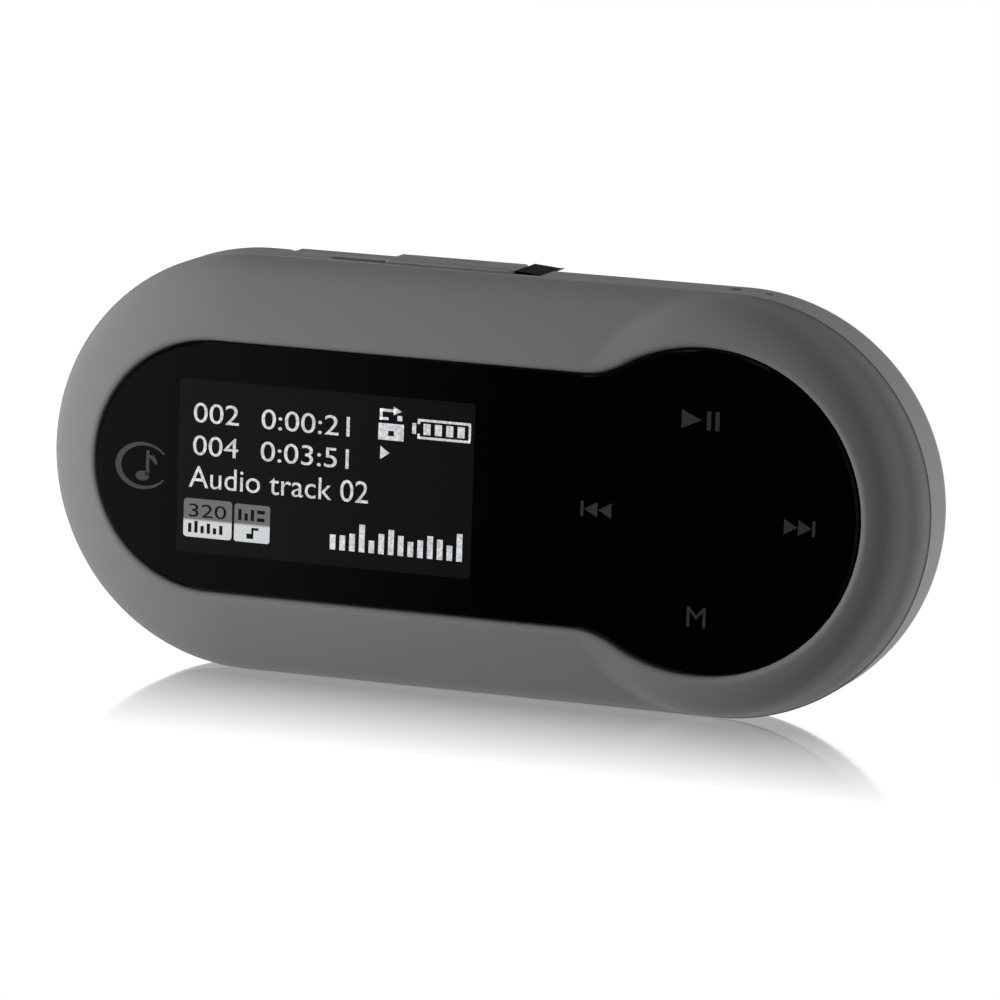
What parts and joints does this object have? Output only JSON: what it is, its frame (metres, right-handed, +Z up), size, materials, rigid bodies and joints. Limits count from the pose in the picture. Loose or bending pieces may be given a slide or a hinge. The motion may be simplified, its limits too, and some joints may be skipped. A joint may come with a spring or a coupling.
{
  "type": "digital audio player",
  "caption": "Pocket audio player with a keyhole window, small display and touch keys, and a USB plug that slides out of its end.",
  "frame": {"origin": "middle of the footprint, on the surface that the player stands on with its long edge down", "axes": "+X along the length towards the round key pad, -Y out of the face, +Z up"},
  "size_m": [0.0895, 0.0154, 0.0413],
  "materials": {
    "satin_grey_paint": "satin metallic paint on moulded ABS",
    "satin_grey_knob": "satin metallic paint on moulded ABS",
    "dark_grey_abs": "fine spark-eroded texture",
    "black_acrylic": "polished, printed black behind",
    "black_foam_tape": "die-cut foam tape",
    "display_glass": "dark display glass",
    "black_foam": "closed-cell foam",
    "polyimide_ribbon": "amber ribbon cable",
    "polyimide_film": "amber film",
    "green_circuit_board": "solder mask",
    "chip_moulding": "epoxy moulding",
    "tinned_steel": "tinned",
    "ceramic_chip": "fired ceramic",
    "pouch_foil": "matte laminated foil",
    "white_adhesive": "paper-backed adhesive",
    "red_wire": "insulated wire",
    "black_acetal": "moulded acetal",
    "black_abs": "moulded ABS",
    "plated_steel": "nickel plated",
    "white_plastic": "moulded nylon",
    "gilt_brass": "gold flash",
    "spring_steel": "spring strip",
    "black_rubber": "moulded silicone",
    "blackened_screws": "black oxide",
    "zinc_screws": "zinc plated"
  },
  "bodies": {
    "housing": {"front_bezel": "satin_grey_paint", "rear_cover": "dark_grey_abs", "window_lens": "black_acrylic", "lens_adhesive": "black_foam_tape", "display_panel": "display_glass", "display_gasket": "black_foam", "display_pad": "black_foam", "display_flex": "polyimide_ribbon", "touch_sensor": "polyimide_film", "touch_flex": "polyimide_ribbon", "main_board": "green_circuit_board", "processor_chip": "chip_moulding", "flash_memory_chip": "chip_moulding", "crystal": "tinned_steel", "board_capacitors": "ceramic_chip", "battery_cell": "pouch_foil", "battery_adhesive": "white_adhesive", "battery_leads": "red_wire", "slide_track": "black_abs", "slide_guide": "black_acetal", "detent_spring": "spring_steel", "earphone_jack": "black_abs", "jack_terminals": "tinned_steel", "jack_ring": "plated_steel", "hold_switch": "tinned_steel", "microphone": "tinned_steel", "microphone_boot": "black_rubber", "reset_switch": "black_abs", "case_screws": "blackened_screws", "board_screws": "zinc_screws"},
    "usb_slide": {"usb_carriage": "black_acetal", "usb_plug_shell": "plated_steel", "usb_plug_tongue": "white_plastic", "usb_plug_contacts": "gilt_brass", "usb_wipers": "gilt_brass", "slide_knob": "satin_grey_knob", "slide_shutter": "black_acetal"},
    "hold_switch_knob": {"hold_knob": "satin_grey_knob"},
    "reset_button": {"reset_plunger": "white_plastic"}
  },
  "joints": [
    {"name": "usb_slide_travel", "type": "slide", "parent": "housing", "child": "usb_slide", "axis": [-1, 0, 0], "range_m": [0, 0.0109]},
    {"name": "hold_switch_travel", "type": "slide", "parent": "housing", "child": "hold_switch_knob", "axis": [1, 0, 0], "range_m": [-0.0015, 0.0015]},
    {"name": "reset_press", "type": "slide", "parent": "housing", "child": "reset_button", "axis": [0, 0, -1], "range_m": [0, 0.00025], "stiffness_N_per_m": 150}
  ]
}
